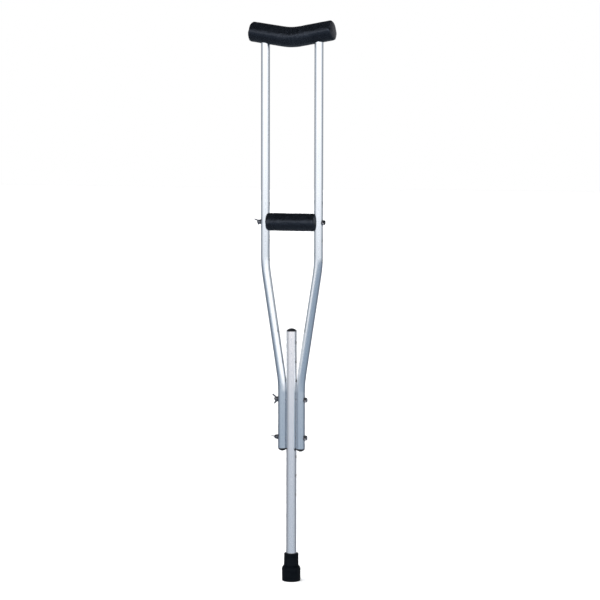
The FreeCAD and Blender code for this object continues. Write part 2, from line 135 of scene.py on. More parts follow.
class Graph:
    """A node tree that adds any node from its type, its settings and the values of its sockets."""

    def __init__(self, tree: NodeTree) -> None:
        """Takes a node tree and empties it."""
        self.tree = tree
        self.tree.nodes.clear()

    def raw(self, kind: str, settings: Settings = None, sockets: Sockets = None) -> Node:
        """Adds a node.

        Args:
            kind: the node's type name.
            settings: the node's own settings.
            sockets: a value or a wire for each named or numbered input.

        Returns:
            The new node.
        """
        node = self.tree.nodes.new(kind)
        for name, setting in (settings or {}).items():
            setattr(node, name, setting)
        for key, value in (sockets or {}).items():
            self.feed(node.inputs[key], value)
        return node

    def node(
        self, kind: str, settings: Settings = None, sockets: Sockets = None, output: Union[int, str] = 0
    ) -> Wire:
        """Adds a node as raw does, and returns a wire from one of its outputs."""
        return Wire(self, self.raw(kind, settings, sockets).outputs[output])

    def feed(self, socket: NodeSocket, value: Value) -> None:
        """Links a wire to a socket, or sets the socket's own value.

        Args:
            socket: the socket to fill.
            value: a wire, a number or a colour.
        """
        if isinstance(value, Wire):
            self.tree.links.new(value.socket, socket)
        else:
            socket.default_value = value

    def sum(self, operation: str, *values: Value) -> Wire:
        """Adds one Math node on the given values."""
        return self.node("ShaderNodeMath", {"operation": operation}, dict(enumerate(values)))

    def mix(self, share: Value, first: Value, second: Value) -> Wire:
        """Blends from the first colour to the second by share, from 0 to 1.

        Args:
            share: how much of the second there is.
            first: the colour at 0.
            second: the colour at 1.

        Returns:
            The blended colour.
        """
        factor, colour_a, colour_b, colour_out = 0, 6, 7, 2
        sockets = {factor: share, colour_a: first, colour_b: second}
        return self.node("ShaderNodeMix", {"data_type": "RGBA"}, sockets, output=colour_out)

    def band(self, value: Value, low: float, high: float) -> Wire:
        """Rises smoothly from 0 where value is low to 1 where it is high."""
        sockets = {"Value": value, "From Min": low, "From Max": high}
        return self.node("ShaderNodeMapRange", {"interpolation_type": "SMOOTHSTEP"}, sockets)

    def place(self) -> Wire:
        """The point's place in the row frame."""
        return self.node("ShaderNodeTexCoord", output="Object")

    def parts(self, vector: Wire) -> tuple[Wire, Wire, Wire]:
        """The X, Y and Z of a vector."""
        split = self.raw("ShaderNodeSeparateXYZ", sockets={0: vector})
        return tuple(Wire(self, socket) for socket in split.outputs)

    def stretch(self, vector: Value, scale: Sequence[float], shift: Sequence[float] = (0, 0, 0)) -> Wire:
        """Scales a vector by a factor for each axis, then shifts it."""
        sockets = {"Vector": vector, "Scale": scale, "Location": shift}
        return self.node("ShaderNodeMapping", sockets=sockets)

    def noise(self, vector: Value, scale: float, detail: float = 2.0, rough: float = 0.5) -> Wire:
        """Cloudy noise from 0 to 1 about 0.5."""
        sockets = {"Vector": vector, "Scale": scale, "Detail": detail, "Roughness": rough}
        return self.node("ShaderNodeTexNoise", sockets=sockets)

    def cells(self, vector: Value, scale: float) -> Wire:
        """Distance to the nearest of a scatter of points, as fine grain has."""
        return self.node("ShaderNodeTexVoronoi", sockets={"Vector": vector, "Scale": scale})

    def bump(self, height: Wire, strength: float, distance: float = MM) -> Wire:
        """A normal that follows a height from 0 to 1, worth the given distance."""
        sockets = {"Height": height, "Strength": strength, "Distance": distance}
        return self.node("ShaderNodeBump", sockets=sockets, output="Normal")


# ---------------------------------------------------------------- finishes


@dataclass(frozen=True)
class Finish:
    """A surface finish, with what the shader keeps the same all over it."""

    name: str
    metallic: float = 0.0
    specular: float = 0.5
    specular_tint: Colour = (1, 1, 1, 1)

    def make(self) -> Material:
        """Builds the finish's material.

        Returns:
            A new material with its shader dressed by paint.
        """
        material = bpy.data.materials.new(self.name)
        material.use_nodes = True
        graph = Graph(material.node_tree)
        shader = graph.raw("ShaderNodeBsdfPrincipled")
        shader.inputs["Metallic"].default_value = self.metallic
        shader.inputs["Specular IOR Level"].default_value = self.specular
        shader.inputs["Specular Tint"].default_value = self.specular_tint
        colour, roughness, normal = self.paint(graph, graph.place())
        graph.feed(shader.inputs["Base Color"], colour)
        graph.feed(shader.inputs["Roughness"], roughness)
        graph.feed(shader.inputs["Normal"], normal)
        graph.raw("ShaderNodeOutputMaterial", sockets={"Surface": Wire(graph, shader.outputs[0])})
        return material

    def paint(self, graph: Graph, place: Wire) -> tuple[Wire, Wire, Wire]:
        """Draws the finish."""
        raise NotImplementedError


@dataclass(frozen=True)
class DrawnAluminium(Finish):
    """Anodised tube: fine lines along the draw, smudges, and rubbed rims round its drilled holes,
    darkened there as painted shade.
    """

    metallic: float = 1.0
    bright: Colour = (0.86, 0.88, 0.91, 1)
    dull: Colour = (0.76, 0.79, 0.83, 1)
    first_hole: float = 0.0
    hole_pitch: float = 1.0
    hole_count: int = 0
    hole_radius: float = 3.25 * MM

    def paint(self, graph: Graph, place: Wire) -> tuple[Wire, Wire, Wire]:
        """Draw lines, smudges, scuffs and hole rims, whose darkening is painted shade.

        Args:
            graph: the material's nodes.
            place: where on the piece, in its own space.

        Returns:
            The colour, the roughness and the normal.
        """
        lines = graph.noise(graph.stretch(place, (1600, 1600, 9)), 1.0, 3.0, 0.6)
        smudge = graph.noise(graph.stretch(place, (26, 26, 11)), 1.0, 4.0, 0.55)
        streaks = graph.noise(graph.stretch(place, (420, 420, 30)), 1.0, 5.0, 0.7)
        scratches = graph.band(streaks, 0.64, 0.74)
        rim = self._hole_rims_and_shade(graph, place)
        shade = graph.mix(smudge * 0.5, self.bright, self.dull)
        shade = graph.mix(scratches * 0.18, shade, (0.93, 0.94, 0.95, 1))
        # painted shade: the metal is darkened round each drilled hole
        shade = graph.mix(rim * 0.35, shade, (0.40, 0.42, 0.45, 1))
        roughness = 0.13 + lines * 0.05 + smudge * 0.03 + scratches * 0.04 + rim * 0.12
        normal = graph.bump(lines * 0.5 + scratches * 0.3, 0.05, 0.01 * MM)
        return shade, roughness, normal

    def _hole_rims_and_shade(self, graph: Graph, place: Wire) -> Wire:
        """A ring of rubbed, rougher metal round each hole that is drilled through along X, darkened
        there as painted shade.

        Args:
            graph: the material's nodes.
            place: where on the piece, in its own space.

        Returns:
            1 on a rim, and 0 away from it.
        """
        _, deep, height = graph.parts(place)
        step = (height - self.first_hole) / self.hole_pitch
        last = float(max(self.hole_count - 1, 0))
        nearest = graph.sum("MINIMUM", graph.sum("MAXIMUM", graph.sum("ROUND", step), 0.0), last)
        off = (step - nearest) * self.hole_pitch
        reach = graph.sum("SQRT", off * off + deep * deep)
        return 1 - graph.band(reach, self.hole_radius * 1.02, self.hole_radius * 1.35)


@dataclass(frozen=True)
class SkinnedFoam(Finish):
    """Closed-cell foam with its own moulded skin: fine cells, soft hollow spots and small folds, with
    painted shade in the low spots and pore marks and painted highlight on the folds.
    """

    specular: float = 0.46
    specular_tint: Colour = (0.62, 0.76, 1.0, 1)
    # painted light and shade: the lighter colour goes on raised spots and the darker one on low spots
    lit_crest: Colour = (0.0042, 0.0052, 0.0072, 1)
    hollow: Colour = (0.0026, 0.0032, 0.0044, 1)
    crease_centre: tuple[float, float, float] = (0.0, 0.0, 0.0)
    crease_reach: float = 0.03
    cell: float = 0.7 * MM

    def paint(self, graph: Graph, place: Wire) -> tuple[Wire, Wire, Wire]:
        """Cells, soft hollow spots and folds, with painted shade in the low spots and pore marks and
        painted highlight on the folds.

        Args:
            graph: the material's nodes.
            place: where on the piece, in its own space.

        Returns:
            The colour, the roughness and the normal.
        """
        cells = graph.cells(place, 1 / self.cell)
        pores_and_shade = graph.band(graph.noise(place, 1 / (2.4 * self.cell), 3.0, 0.6), 0.58, 0.7)
        hollows_and_shade = graph.noise(place, 62, 3.0, 0.55)
        creases_and_highlight = self._creases_and_highlight(graph, place)
        # painted light and shade: low bumps take the darker colour, raised bumps the lighter one
        shade = graph.mix(graph.band(hollows_and_shade, 0.3, 0.7), self.hollow, self.lit_crest)
        # painted shade: the sunken pore marks are darkened
        shade = graph.mix(pores_and_shade * 0.5, shade, (0.0015, 0.0018, 0.0024, 1))
        # painted highlight: the raised folds are lightened
        shade = graph.mix(creases_and_highlight * 0.3, shade, (0.010, 0.012, 0.016, 1))
        roughness = 0.22 + hollows_and_shade * 0.12 + pores_and_shade * 0.07 - creases_and_highlight * 0.04
        height = hollows_and_shade * 1.6 + cells * 0.12 - pores_and_shade * 0.1 + creases_and_highlight * 0.8
        return shade, roughness, graph.bump(height, 0.42, 0.6 * MM)

    def _creases_and_highlight(self, graph: Graph, place: Wire) -> Wire:
        """Short wavering folds that fade out away from the crease centre; they are bumped and lightened
        as painted highlight.

        Args:
            graph: the material's nodes.
            place: where on the piece, in its own space.

        Returns:
            How strongly a point is creased, from 0 to 1.
        """
        centre = [-number for number in self.crease_centre]
        near = graph.stretch(place, (1, 1, 1), centre)
        across, deep, height = graph.parts(near)
        reach = graph.sum("SQRT", across * across + deep * deep * 0.3 + height * height)
        fade = 1 - graph.band(reach, self.crease_reach * 0.2, self.crease_reach)
        waver = graph.noise(near, 120, 3.0, 0.6)
        wave = graph.sum("SINE", across * 620 + height * 210 + waver * 9)
        return graph.band(wave, 0.1, 1.0) * fade


@dataclass(frozen=True)
class MouldedRubber(Finish):
    """Black rubber: a matt moulded grain, a faint bloom and a parting line, dustier at the floor."""

    specular: float = 0.10
    specular_tint: Colour = (0.62, 0.80, 1.0, 1)
    black: Colour = (0.0013, 0.0020, 0.0031, 1)
    bloom: Colour = (0.0026, 0.0036, 0.0050, 1)
    dust: Colour = (0.016, 0.016, 0.016, 1)
    floor: float = 0.0
    dust_reach: float = 3.5 * MM

    def paint(self, graph: Graph, place: Wire) -> tuple[Wire, Wire, Wire]:
        """Grain, bloom, the mould's parting line and dust from the floor.

        Args:
            graph: the material's nodes.
            place: where on the piece, in its own space.

        Returns:
            The colour, the roughness and the normal.
        """
        _, deep, height = graph.parts(place)
        grain = graph.cells(place, 2400)
        clouds = graph.noise(place, 90, 4.0, 0.6)
        low = 1 - graph.band(height, self.floor, self.floor + self.dust_reach)
        dust = low * graph.band(clouds, 0.35, 0.65)
        parting = 1 - graph.band(graph.sum("ABSOLUTE", deep), 0.12 * MM, 0.3 * MM)
        shade = graph.mix(graph.band(clouds, 0.4, 0.75), self.black, self.bloom)
        shade = graph.mix(dust * 0.55, shade, self.dust)
        roughness = 0.40 + clouds * 0.16 + dust * 0.25
        height_map = grain * 0.16 + clouds * 0.3 + parting * 0.45
        return shade, roughness, graph.bump(height_map, 0.5, 0.3 * MM)


@dataclass(frozen=True)
class MouldedPlastic(Finish):
    """Injection-moulded plastic: a fine spark grain with faint flow marks."""

    specular: float = 0.5
    body: Colour = (0.011, 0.012, 0.014, 1)
    flow: Colour = (0.019, 0.020, 0.023, 1)
    gloss: float = 0.34

    def paint(self, graph: Graph, place: Wire) -> tuple[Wire, Wire, Wire]:
        """Spark grain and flow marks.

        Args:
            graph: the material's nodes.
            place: where on the piece, in its own space.

        Returns:
            The colour, the roughness and the normal.
        """
        grain = graph.cells(place, 3000)
        flow = graph.noise(graph.stretch(place, (70, 70, 180)), 1.0, 3.0, 0.5)
        shade = graph.mix(graph.band(flow, 0.4, 0.7), self.body, self.flow)
        roughness = self.gloss + flow * 0.12 + grain * 0.06
        return shade, roughness, graph.bump(grain * 0.4 + flow * 0.3, 0.35, 0.12 * MM)


@dataclass(frozen=True)
class PlatedSteel(Finish):
    """Zinc-plated steel: a grey passivated film with soft spots and fine turning marks about X."""

    metallic: float = 1.0
    film: Colour = (0.34, 0.35, 0.38, 1)
    spot: Colour = (0.20, 0.21, 0.235, 1)

    def paint(self, graph: Graph, place: Wire) -> tuple[Wire, Wire, Wire]:
        """Plating spots and turning marks.

        Args:
            graph: the material's nodes.
            place: where on the piece, in its own space.

        Returns:
            The colour, the roughness and the normal.
        """
        spots = graph.noise(place, 420, 4.0, 0.6)
        turning = graph.noise(graph.stretch(place, (5200, 260, 260)), 1.0, 2.0, 0.5)
        shade = graph.mix(graph.band(spots, 0.38, 0.68), self.film, self.spot)
        roughness = 0.26 + spots * 0.14 + turning * 0.08
        return shade, roughness, graph.bump(turning * 0.5 + spots * 0.5, 0.25, 0.05 * MM)


@dataclass(frozen=True)
class CastZinc(Finish):
    """Die-cast wing nut: a dull grey skin with a pebbled grain, rubbed brighter in patches."""

    metallic: float = 1.0
    skin: Colour = (0.20, 0.21, 0.235, 1)
    rubbed: Colour = (0.42, 0.43, 0.46, 1)

    def paint(self, graph: Graph, place: Wire) -> tuple[Wire, Wire, Wire]:
        """Pebbled grain and rubbed patches.

        Args:
            graph: the material's nodes.
            place: where on the piece, in its own space.

        Returns:
            The colour, the roughness and the normal.
        """
        grain = graph.noise(place, 2100, 3.0, 0.6)
        patches = graph.noise(place, 260, 3.0, 0.55)
        shade = graph.mix(graph.band(patches, 0.5, 0.72), self.skin, self.rubbed)
        roughness = 0.36 + patches * 0.12 + grain * 0.1
        return shade, roughness, graph.bump(grain, 0.4, 0.12 * MM)


@dataclass(frozen=True)
class StudioPaper(Finish):
    """The pale floor that the crutch stands on."""

    specular: float = 0.15
    white: Colour = (0.93, 0.935, 0.945, 1)
    shade: Colour = (0.90, 0.905, 0.92, 1)

    def paint(self, graph: Graph, place: Wire) -> tuple[Wire, Wire, Wire]:
        """A hardly visible mottle.

        Args:
            graph: the material's nodes.
            place: where on the piece, in its own space.

        Returns:
            The colour, the roughness and the normal.
        """
        mottle = graph.noise(place, 5, 2.0, 0.5)
        shade = graph.mix(mottle, self.white, self.shade)
        return shade, 0.8 + mottle * 0.1, graph.bump(mottle, 0.05)


# ---------------------------------------------------------------- hand tools


def clear_selection() -> None:
    """Leaves nothing selected, in object mode."""
    if bpy.context.object and bpy.context.object.mode != "OBJECT":
        leave_edit()
    bpy.ops.object.select_all(action="DESELECT")


def pick(piece: Object) -> None:
    """Makes a piece the only one selected, and the active one.

    Args:
        piece: the piece to work on.
    """
    clear_selection()
    piece.select_set(True)
    bpy.context.view_layer.objects.active = piece


def leave_edit() -> None:
    """Goes back to object mode."""
    bpy.ops.object.mode_set(mode="OBJECT")


def edit_all(kind: str) -> None:
    """Opens the active piece in edit mode, with all of its faces or edges selected.

    Args:
        kind: FACE or EDGE.
    """
    bpy.ops.object.mode_set(mode="EDIT")
    bpy.ops.mesh.select_mode(type=kind)
    bpy.ops.mesh.select_all(action="SELECT")


def extrude(step: Sequence[float]) -> None:
    """Draws out what is selected by a step."""
    bpy.ops.mesh.extrude_region_move(TRANSFORM_OT_translate={"value": step})


def scale_about(middle: Sequence[float], factors: Sequence[float]) -> None:
    """Scales what is selected by a factor for each axis, about a middle point."""
    bpy.ops.transform.resize(value=factors, center_override=middle)


def settle(piece: Object, name: str) -> Object:
    """Names a piece and puts its place, turn and scale into its mesh.

    Args:
        piece: the piece, wherever it stands.
        name: its new name.

    Returns:
        The same piece, with its object at the origin.
    """
    pick(piece)
    bpy.ops.object.transform_apply(location=True, rotation=True, scale=True)
    piece.name = name
    piece.data.name = name
    return piece


def select_faces(piece: Object, wanted: Callable[[MeshPolygon], bool]) -> None:
    """Opens a piece in edit mode with only the wanted faces selected.

    Args:
        piece: the piece to open.
        wanted: says whether a face is wanted.
    """
    pick(piece)
    bpy.ops.object.mode_set(mode="EDIT")
    bpy.ops.mesh.select_mode(type="FACE")
    bpy.ops.mesh.select_all(action="DESELECT")
    leave_edit()
    for face in piece.data.polygons:
        face.select = wanted(face)
    bpy.ops.object.mode_set(mode="EDIT")


def round_edges(piece: Object, width: float, segments: int, degrees: float) -> None:
    """Rounds the edges of a piece that are sharper than the given angle."""
    angle = math.radians(degrees)
    apply(piece, "BEVEL", width=width, segments=segments, limit_method="ANGLE", angle_limit=angle)


def outward(piece: Object) -> None:
    """Merges doubles and turns every face of a closed piece outwards.

    Args:
        piece: the closed piece.
    """
    pick(piece)
    bpy.ops.object.mode_set(mode="EDIT")
    bpy.ops.mesh.select_all(action="SELECT")
    bpy.ops.mesh.remove_doubles(threshold=0.002 * MM)
    bpy.ops.mesh.normals_make_consistent(inside=False)
    leave_edit()


def apply(piece: Object, kind: str, **settings: object) -> None:
    """Adds a modifier to a piece and applies it.

    Args:
        piece: the piece to change.
        kind: the modifier's type.
        settings: the modifier's own settings.
    """
    pick(piece)
    modifier = piece.modifiers.new(kind.title(), kind)
    for name, setting in settings.items():
        setattr(modifier, name, setting)
    bpy.ops.object.modifier_apply(modifier=modifier.name)


def cut(piece: Object, tool: Object, operation: str = "DIFFERENCE") -> None:
    """Cuts a piece with a closed tool, or joins or trims it, and throws the tool away."""
    apply(piece, "BOOLEAN", object=tool, operation=operation, solver="EXACT")
    bpy.data.objects.remove(tool)


def smooth(piece: Object, degrees: float) -> None:
    """Shades a piece smoothly but for edges sharper than the given angle."""
    pick(piece)
    bpy.ops.object.shade_smooth_by_angle(angle=math.radians(degrees))


def draw_rings(stations: Sequence[Station]) -> None:
    """Draws the selected ring out about Z, from station to station, and leaves edit mode.

    Args:
        stations: (height, radius) of each ring, the selected one first.
    """
    for (height, radius), (next_height, next_radius) in zip(stations, stations[1:]):
        extrude((0, 0, next_height - height))
        grow = next_radius / radius
        scale_about((0, 0, next_height), (grow, grow, 1))
    leave_edit()


def turned(name: str, stations: Sequence[Station], sides: int) -> Object:
    """Turns a closed piece about Z, from a disc that is extruded and scaled from station to station.

    Args:
        name: the piece's name.
        stations: (height, radius) of each ring, along the outline from its first face to its last.
        sides: the number of sides of each ring.

    Returns:
        The turned piece, with its faces outwards.
    """
    clear_selection()
    height, radius = stations[0]
    bpy.ops.mesh.primitive_circle_add(
        vertices=sides, radius=radius, fill_type="NGON", location=(0, 0, height)
    )
    piece = settle(bpy.context.object, name)
    edit_all("FACE")
    draw_rings(stations)
    outward(piece)
    return piece


def arc(centre: Station, radius: float, start: float, end: float, steps: int) -> list[Station]:
    """Stations round an arc.

    Args:
        centre: (height, radius) of the arc's centre.
        radius: the arc's own radius.
        start: the first angle, in degrees, from straight outwards towards straight up.
        end: the last angle.
        steps: how many equal steps the arc has.

    Returns:
        Its stations, both ends included.
    """
    turns = [math.radians(start + (end - start) * step / steps) for step in range(steps + 1)]
    return [(centre[0] + radius * math.sin(turn), centre[1] + radius * math.cos(turn)) for turn in turns]


def copy_of(
    piece: Object, name: str, shift: Sequence[float] = (0, 0, 0)
) -> Object:
    """A copy of a piece with its own mesh, moved by shift.

    Args:
        piece: the piece to copy.
        name: the copy's name.
        shift: how far the copy is moved.

    Returns:
        The copy, with its object at the origin.
    """
    twin = piece.copy()
    twin.data = piece.data.copy()
    bpy.context.collection.objects.link(twin)
    twin.location = shift
    return settle(twin, name)


def swell(piece: Object, voxel: float, cap: float, frames: int = 20) -> None:
    """Swells a closed piece as foam fills its skin, with the cloth solver's air pressure.

    Args:
        piece: the closed piece, a little smaller than it ends.
        voxel: the size of its new, even faces.
        cap: the furthest that any point may move.
        frames: how many steps the cloth takes.
    """
    apply(piece, "REMESH", mode="VOXEL", voxel_size=voxel, use_smooth_shade=True)
    rest = [point.co.copy() for point in piece.data.vertices]
    cloth = piece.modifiers.new("Swell", "CLOTH")
    for name, setting in FOAM_SKIN.items():
        setattr(cloth.settings, name, setting)
    cloth.settings.effector_weights.gravity = 0.0
    cloth.point_cache.frame_start = 1
    cloth.point_cache.frame_end = frames
    for frame in range(1, frames + 1):
        bpy.context.scene.frame_set(frame)
    pick(piece)
    bpy.ops.object.modifier_apply(modifier=cloth.name)
    bpy.context.scene.frame_set(1)
    furthest = 0.0
    for point, before in zip(piece.data.vertices, rest):
        move = point.co - before
        furthest = max(furthest, move.length)
        if move.length > cap:
            point.co = before + move.normalized() * cap
    LOG.info("%s: swelled by up to %.2f mm before the cap", piece.name, furthest / MM)
    apply(piece, "SUBSURF", levels=1, render_levels=1)


def dress(piece: Object, material: Material) -> None:
    """Gives all of a new piece one material."""
    piece.data.materials.clear()
    piece.data.materials.append(material)


def redress(node: Object, material: Material) -> None:
    """Gives a carried-over node a material through its object's slots, so its mesh is left alone.

    Args:
        node: the carried-over node.
        material: its new finish.
    """
    for slot in node.material_slots:
        slot.link = "OBJECT"
        slot.material = material


# ---------------------------------------------------------------- the crutch's sub-assemblies


class Slot(Enum):
    """The record's material slot names, listed with each fitting on a bolt line, though no piece takes
    its finish from them.
    """

    PAD = "pad_foam"
    GRIP = "grip_foam"
    PLUG = "plug_plastic"
    TIP = "tip_rubber"
    STEEL = "plated_steel"
    WING_NUT = "wing_nut_metal"


@dataclass
class Bench:
    """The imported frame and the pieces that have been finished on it."""

    frame: Mapping[str, object]

    def node(self, name: str) -> Object:
        """A carried-over node, by name."""
        return self.frame["nodes"][name]

    def fit(self, piece: Object, node: str, material: Material) -> None:
        """Puts a finished piece in the place of a node.

        Args:
            piece: the new piece, in place.
            node: the node that it stands for, whose body it rides on.
            material: its finish.
        """
        dress(piece, material)
        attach(piece, self.node(node)["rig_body"])
        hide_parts(node)
        LOG.info("%s: %d faces, for %s", piece.name, len(piece.data.polygons), node)


def height_of(node: str) -> float:
    """The height of the middle of a node's box."""
    low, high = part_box(node)
    return (low.z + high.z) / 2


def tube_axis() -> tuple[float, float]:
    """Where the right side tube's upper run stands along X, and its outside radius.

    Returns:
        The axis's place along X, and the radius.
    """
    low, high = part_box("side_tube_right")
    radius = (high.y - low.y) / 2
    return high.x - radius, radius


def tube_gauge(name: str, clearance: float, low: float, high: float, side: int) -> Object:
    """A closed upright cutter round one side tube's upper run, from low to high.

    Args:
        name: the cutter's name.
        clearance: how far it stands off the tube.
        low: the height of its lower end.
        high: the height of its upper end.
        side: 1 for the right tube, or -1 for the left.

    Returns:
        The cutter, in place.
    """
    across, radius = tube_axis()
    gauge = turned(name, [(low, radius + clearance), (high, radius + clearance)], 64)
    gauge.location = (side * across, 0, 0)
    return settle(gauge, name)


@dataclass
class UnderarmCushion:
    """The foam saddle: a thick foam roll with a shallow dip, hollow for its core and the tubes."""

    overhang: float = 31.8 * MM
    slope: float = math.radians(9.3)
    bend_radius: float = 120.0 * MM
    edge_round: float = 1.6 * MM
    core_radius: float = 14.1 * MM
    core_inset: float = 8.9 * MM
    slack: float = -0.55 * MM
    voxel: float = 3.0 * MM
    swell_cap: float = 1.5 * MM

    def roll(self, name: str, radius: float, run: float, middle: float, edge: float) -> Object:
        """Bends a round bar to the saddle's line: a spun middle, a straight arm and its mirror.

        Args:
            name: the bar's name.
            radius: its radius.
            run: how far its centre line reaches along X.
            middle: the height of its centre line at X = 0.
            edge: the round of its end edges, or 0.

        Returns:
            The closed bar.
        """
        clear_selection()
        bpy.ops.mesh.primitive_circle_add(
            vertices=64, radius=radius, location=(0, 0, middle), rotation=(0, math.pi / 2, 0)
        )
        bar = settle(bpy.context.object, name)
        edit_all("EDGE")
        bpy.ops.mesh.spin(
            steps=5, angle=self.slope, center=(0, 0, middle + self.bend_radius), axis=(0, 1, 0)
        )
        arm = (run - self.bend_radius * math.sin(self.slope)) / math.cos(self.slope)
        step = (arm * math.cos(self.slope), 0, arm * math.sin(self.slope))
        extrude(step)
        bpy.ops.mesh.edge_face_add()
        if edge:
            bpy.ops.mesh.bevel(offset=edge, segments=5, affect="EDGES")
        leave_edit()
        apply(bar, "MIRROR", use_axis=(True, False, False), merge_threshold=0.01 * MM)
        outward(bar)
        return bar

    def build(self, bench: Bench, foam: Material) -> None:
        """Rolls, swells and hollows the cushion, and fits it.

        Args:
            bench: the frame to fit to.
            foam: the cushion's finish.
        """
        low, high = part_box("underarm_pad")
        radius = (high.y - low.y) / 2
        middle = low.z + radius
        across, _ = tube_axis()
        run = across + self.overhang
        radius, length = radius - self.slack, run - self.slack
        cushion = self.roll("underarm_cushion", radius, length, middle, self.edge_round)
        swell(cushion, self.voxel, self.swell_cap)
        cut(cushion, self.roll("core_pocket", self.core_radius, run - self.core_inset, middle, 0.0))
        for side in (-1, 1):
            cut(cushion, tube_gauge("tube_pocket", 0.15 * MM, low.z - 10 * MM, middle + 4 * MM, side))
        smooth(cushion, 50)
        bench.fit(cushion, "underarm_pad", foam)


@dataclass
class HandGrip:
    """The foam sleeve that the hand closes on, its ends hollowed to sit round the side tubes."""

    edge_round: float = 2.0 * MM
    core_radius: float = 12.1 * MM
    slack: float = 0.0 * MM
    voxel: float = 3.0 * MM
    swell_cap: float = 1.1 * MM

    def build(self, bench: Bench, foam: Material) -> None:
        """Rolls, swells, bores and notches the sleeve, and fits it.

        Args:
            bench: the frame to fit to.
            foam: the sleeve's finish.
        """
        low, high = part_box("grip_sleeve")
        radius = (high.z - low.z) / 2 - self.slack
        height = (low.z + high.z) / 2
        half = high.x
        sleeve = self._bar("handgrip_sleeve", radius, half, height)
        for side in (-1, 1):
            select_faces(sleeve, lambda face: face.normal.x * side > 0.9)
            bpy.ops.mesh.bevel(offset=self.edge_round, segments=5, affect="EDGES")
            leave_edit()
        swell(sleeve, self.voxel, self.swell_cap)
        cut(sleeve, self._bar("core_bore", self.core_radius, 1.2 * half, height))
        for side in (-1, 1):
            cut(sleeve, tube_gauge("saddle_notch", 0.3 * MM, low.z - 20 * MM, high.z + 20 * MM, side))
        smooth(sleeve, 50)
        bench.fit(sleeve, "grip_sleeve", foam)

    @staticmethod
    def _bar(name: str, radius: float, half: float, height: float) -> Object:
        """A round bar along X.

        Args:
            name: the bar's name.
            radius: its radius.
            half: how far it reaches each way.
            height: the height of its centre line.

        Returns:
            The bar, in place.
        """
        bar = turned(name, [(-half, radius), (half, radius)], 56)
        bar.rotation_euler = (0, math.pi / 2, 0)
        bar.location = (0, 0, height)
        return settle(bar, name)


@dataclass
class RubberFoot:
    """The ferrule: a ribbed collar round the leg, a rounded flare and a treaded sole."""

    foot_wall: float = 8.9 * MM
    neck_wall: float = 4.7 * MM
    collar_wall: float = 4.5 * MM
    flare_low: float = 22.5 * MM
    flare_high: float = 34.5 * MM
    flare_round: float = 12.0 * MM
    sole_round: float = 3.0 * MM
    lip_round: float = 1.5 * MM
    floor: float = 12.0 * MM
    socket_gap: float = 0.05 * MM
    groove_depth: float = 2.0 * MM
    groove_width: float = 2.0 * MM
    grooves: tuple[float, float] = (5.0 * MM, 10.0 * MM)
    tread_blocks: int = 12
    sides: int = 96

    def stations(self, leg_radius: float, height: float) -> list[Station]:
        """The outline from the sole's middle round the outside and down into the socket.

        Args:
            leg_radius: the leg's outside radius.
            height: the foot's whole height.

        Returns:
            (height, radius) of each ring.
        """
        base, neck = leg_radius + self.foot_wall, leg_radius + self.neck_wall
        collar, bore = leg_radius + self.collar_wall, leg_radius + self.socket_gap
        deep, wide = self.groove_depth, self.groove_width
        line: list[Station] = [(0, self.grooves[0] * 0.5)]
        for inner in self.grooves:
            line += [(0, inner), (deep, inner), (deep, inner + wide), (0, inner + wide)]
        line += arc((self.sole_round, base - self.sole_round), self.sole_round, -90, 0, 6)
        line += self.shoulder((self.flare_low, base), (self.flare_high, neck), 10)
        line += self.collar_ribs((self.flare_high, neck), (height - self.lip_round, collar))
        line += arc((height - self.lip_round, collar - self.lip_round), self.lip_round, 0, 90, 5)
        line += [(height, bore), (self.floor, bore), (self.floor, bore * 0.4)]
        return line

    def shoulder(self, low: Station, high: Station, steps: int) -> list[Station]:
        """The convex flare between two stations, on an arc of flare_round.

        Args:
            low: the station that it starts from.
            high: the station that it ends on.
            steps: how many steps the arc takes.

        Returns:
            The stations along the flare.
        """
        rise, shrink = high[0] - low[0], high[1] - low[1]
        chord = math.hypot(rise, shrink)
        back = math.sqrt(self.flare_round**2 - (chord / 2) ** 2) / chord
        centre = ((low[0] + high[0]) / 2 + shrink * back, (low[1] + high[1]) / 2 - rise * back)
        start, end = (
            math.degrees(math.atan2(point[0] - centre[0], point[1] - centre[1])) for point in (low, high)
        )
        return arc(centre, self.flare_round, start, end, steps)

    @staticmethod
    def collar_ribs(low: Station, high: Station) -> list[Station]:
        """The collar's wall, with two shallow rings moulded just under its lip.

        Args:
            low: the station at the foot of the wall.
            high: the station at the top of the wall.

        Returns:
            The stations round the two rings.
        """
        line: list[Station] = []
        for place in (0.70, 0.84):
            for offset, sink in ((-0.035, 0.0), (-0.015, 0.35 * MM), (0.015, 0.35 * MM), (0.035, 0.0)):
                share = place + offset
                height, radius = (start + (end - start) * share for start, end in zip(low, high))
                line.append((height, radius - sink))
        return line

    def cut_tread(self, foot: Object, inner: float, outer: float) -> None:
        """Sinks slots across the sole's outer band, between equal blocks.

        Args:
            foot: the turned foot.
            inner: the band's inner radius.
            outer: the band's outer radius.
        """
        per_block = self.sides // self.tread_blocks

        def in_slot(face: MeshPolygon) -> bool:
            """Whether a face is a slot's, by its place on the sole.

            Args:
                face: a face of the foot.

            Returns:
                True for a slot's face.
            """
            reach = math.hypot(face.center.x, face.center.y)
            turn = math.atan2(face.center.y, face.center.x) % (2 * math.pi)
            column = int(turn / (2 * math.pi) * self.sides)
            return face.normal.z < -0.99 and inner < reach < outer and column % per_block < 2

        select_faces(foot, in_slot)
        extrude((0, 0, self.groove_depth * 0.8))
        leave_edit()

    def build(self, bench: Bench, rubber: Material) -> None:
        """Turns, treads and rounds the foot, and fits it.

        Args:
            bench: the frame to fit to.
            rubber: the foot's finish.
        """
        low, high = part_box("rubber_tip")
        leg_low, leg_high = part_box("extension_tube")
        leg_radius = (leg_high.x - leg_low.x) / 2
        foot = turned("rubber_foot", self.stations(leg_radius, high.z - low.z), self.sides)
        self.cut_tread(foot, self.grooves[1] + self.groove_width, high.x - self.sole_round)
        round_edges(foot, 0.3 * MM, 2, 50)
        smooth(foot, 38)
        bench.fit(foot, "rubber_tip", rubber)


